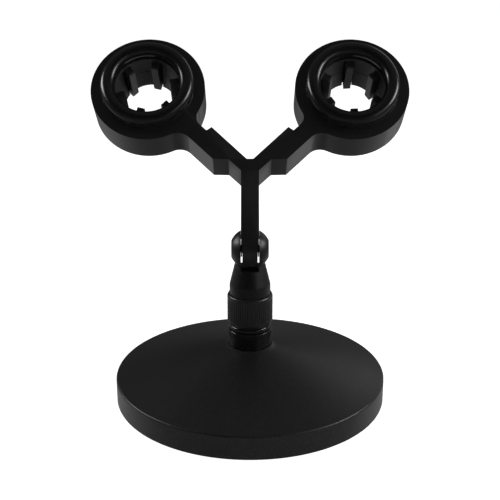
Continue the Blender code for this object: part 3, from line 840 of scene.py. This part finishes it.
def yoke_outline(ring_centre, ring_radius, stem, bottom):
    """The whole outline in the plate's plane, from the tongue round both rings."""
    outward = Vector((1.0, 1.0)).normalized()
    below = Vector((1.0, -1.0)).normalized()
    half = [Vector((0.0, bottom)), Vector((stem, bottom))]
    for x, w in LOWER_ARM_MM:
        half.append(Vector((x * MM, w * MM)))
    lower = fillet_to_ring(half[-1], outward, below, 9.0 * MM, ring_centre, ring_radius)
    upper_end = Vector(UPPER_ARM_MM[0]) * MM
    upper = fillet_to_ring(upper_end, outward, -below, 6.0 * MM, ring_centre, ring_radius)
    upper.reverse()
    first = lower[-1] - ring_centre
    last = upper[0] - ring_centre
    start = math.degrees(math.atan2(first.y, first.x))
    end = math.degrees(math.atan2(last.y, last.x))
    if end < start:
        end += 360.0
    around = arc(ring_centre, ring_radius, start, end, 150)
    half += lower + [Vector(point) for point in around[1:-1]] + upper
    for x, w in UPPER_ARM_MM:
        half.append(Vector((x * MM, w * MM)))
    mirrored = [Vector((-point.x, point.y)) for point in reversed(half[1:])]
    return half + mirrored


def build_yoke():
    plate = frame_matrix(PIVOT, RING_AXIS)
    ring = plate.inverted() @ Vector(JOINTS["insert_turn_right"]["pos_m"])
    half = YOKE_HALF_THICKNESS
    ring_radius = 32.55 * MM
    stem = 4.95 * MM
    bottom = -10.9 * MM
    lip_radius = 23.0 * MM
    lip_thickness = 3.0 * MM
    bore_radius = 25.5 * MM
    relief_floor = 4.1 * MM
    relief_reach = 7.0 * MM
    past_tongue = 8.0 * MM
    outline = yoke_outline(Vector((ring.x, ring.y)), ring_radius, stem, bottom)
    yoke = prism("yoke_plate", outline, -half, half, plate)
    tools = []
    for side, sign in SIDES.items():
        centre = plate @ Matrix.Translation((sign * ring.x, ring.y, 0.0))
        lip = round_hole(lip_radius, 192)
        bore = round_hole(bore_radius, 192)
        tools.append(prism("lip_" + side, lip, -half - MM, half + MM, centre))
        tools.append(prism("bore_" + side, bore, lip_thickness - half, half + MM, centre))
    end = 10.37 * MM
    reach = end + 3.0 * MM
    waste = [(0.0, -reach), (reach, -reach), (reach, reach), (0.0, reach)]
    waste += arc((0.0, 0.0), end, 90.0, -90.0, 64)
    turn = Matrix.Rotation(math.radians(-90.0), 4, "Z") @ Matrix.Rotation(math.radians(90.0), 4, "X")
    tools.append(prism("tongue_end", waste, -past_tongue, past_tongue, plate @ turn))
    across = plate @ Matrix.Rotation(math.pi / 2.0, 4, "Y")
    relief = round_hole(10.45 * MM, 96)
    tools.append(prism("relief_right", relief, relief_floor, relief_reach, across))
    tools.append(prism("relief_left", relief, -relief_reach, -relief_floor, across))
    tools.append(prism("tongue_bore", round_hole(SCREW_HOLE_RADIUS, 32), -past_tongue, past_tongue, across))
    combine(yoke, tools, "DIFFERENCE")
    soften(yoke, 0.22 * MM, 3, 30.0)
    finish_piece(yoke, "yoke", "yoke", satin_black())


# ---------------------------------------------------------------- inserts

CUP_CLOCKING_DEG = {"left": 15.5, "right": 33.0}
FINGER_COUNT = 6


def insert_matrix(side):
    """Local Z is the insert's axis and local zero is the yoke's front face."""
    origin = Vector(JOINTS["insert_turn_" + side]["pos_m"])
    return frame_matrix(origin + RING_AXIS * YOKE_HALF_THICKNESS, RING_AXIS)


def build_shock_ring(side, rubber):
    bead_major = 22.4 * MM
    bead_minor = 4.0 * MM
    bead_centre = 5.3 * MM
    lip = 26.3 * MM
    lip_top = 1.0 * MM
    lip_foot = 0.35 * MM
    ledge = 1.2 * MM
    outer = 25.2 * MM
    inner = 21.9 * MM
    end = -17.3 * MM
    bead = arc((bead_major, bead_centre), bead_minor, 225.0, -45.0, 48)
    neck = bead[-1][0]
    profile = bead + plain_points(filleted([
        bead[-1],
        (neck, 1.3 * MM, 0.3 * MM),
        (lip, lip_top, 0.2 * MM),
        (lip, lip_foot, 0.2 * MM),
        (outer, lip_foot),
        (outer, end, 0.4 * MM),
        (inner, end, 0.3 * MM),
        (inner, ledge),
        (bead[0][0], ledge),
    ])[1:])
    ring = lathe("lip_ring_" + side, profile, 192, closed=True, matrix=insert_matrix(side))
    finish_piece(ring, "insert_" + side, "shock_ring_" + side, rubber)


def build_grip_cup(side, nylon):
    matrix = insert_matrix(side)
    outer = 21.6 * MM
    inner = 20.3 * MM
    top = 0.9 * MM
    flange = 1.6 * MM
    under = top - flange
    end = -22.8 * MM
    petal_top = 18.6 * MM
    petal_end_radius = 15.4 * MM
    petal_end = -22.4 * MM
    wall = 1.2 * MM
    slope = (petal_top - petal_end_radius) / (top - petal_end)
    step_height = -10.0 * MM
    step_radius = petal_top + slope * (step_height - top)
    profile = plain_points(filleted([
        (petal_top, top, 0.4 * MM),
        (outer, top, 0.3 * MM),
        (outer, end, 0.3 * MM),
        (inner, end, 0.3 * MM),
        (inner, under),
        (petal_top - slope * flange + wall, under),
        (petal_end_radius + wall, petal_end, 0.3 * MM),
        (petal_end_radius, petal_end, 0.3 * MM),
        (step_radius, step_height - 0.1 * MM),
        (step_radius + 0.2 * MM, step_height + 0.1 * MM),
    ], closed=True))
    cup = lathe("slotted_cup_" + side, profile, 180, closed=True)

    half_slot = 10.5
    slot_outer = (inner + petal_top + wall) / 2.0 + 0.2 * MM
    sector = arc((0.0, 0.0), slot_outer, -half_slot, half_slot, 12)
    near = 12.0 * MM
    sector += arc((0.0, 0.0), near, half_slot, -half_slot, 2)
    turns = [math.radians(CUP_CLOCKING_DEG[side] + 60.0 * i) for i in range(FINGER_COUNT)]
    slots = []
    for turn in turns:
        slots.append(prism("slot", sector, petal_end - 1.0 * MM, under, Matrix.Rotation(turn, 4, "Z")))
    combine(cup, slots, "DIFFERENCE")
    root = inner + 0.6 * MM
    hoop = 17.6 * MM
    hoop_top = -21.4 * MM
    hoop_end = -22.7 * MM
    lip = [(hoop, hoop_top), (root, hoop_top), (root, hoop_end), (hoop, hoop_end)]
    ribs = [lathe("lip", lip, 180, closed=True)]
    grip = 12.9 * MM
    rib_end = -23.1 * MM
    rib_top = 0.6 * MM
    rib_fall = 1.8 * MM
    half_rib = 2.05 * MM
    outline = plain_points(filleted([
        (root, rib_top - rib_fall),
        (grip, rib_top, 0.8 * MM),
        (grip, rib_end, 0.8 * MM),
        (petal_end_radius + wall, rib_end, 0.3 * MM),
        (root, end + 0.7 * MM),
    ], closed=True))
    for turn in turns:
        stand = Matrix.Rotation(turn, 4, "Z") @ Matrix.Rotation(math.pi / 2.0, 4, "X")
        ribs.append(prism("rib", outline, -half_rib, half_rib, stand))
    combine(cup, ribs, "UNION")
    soften(cup, 0.18 * MM, 2, 35.0)
    cup.data.transform(matrix)
    finish_piece(cup, "insert_" + side, "grip_cup_" + side, nylon)


# ---------------------------------------------------------------- CAD nodes that keep their shape

def paint_cad_nodes():
    oxide = black_oxide()
    zinc = zinc_plate()
    nylon = moulded_nylon()
    finishes = {
        "base_bolt": zinc,
        "base_washer": zinc,
        "spring_washer": zinc,
        "pan_washer": oxide,
        "pan_screw": oxide,
        "pivot_screw": oxide,
        "pivot_nut": oxide,
        "thrust_washer": nylon,
        "friction_washer_left": nylon,
        "friction_washer_right": nylon,
    }
    for name, material in finishes.items():
        node = frame["nodes"][name]
        node.data.materials.clear()
        node.data.materials.append(material)


# ---------------------------------------------------------------- assembly

def build():
    make_studio()
    build_base()
    build_stack()
    build_fork()
    build_yoke()
    rubber = moulded_rubber()
    nylon = moulded_nylon()
    for side in SIDES:
        build_shock_ring(side, rubber)
        build_grip_cup(side, nylon)
    paint_cad_nodes()


build()
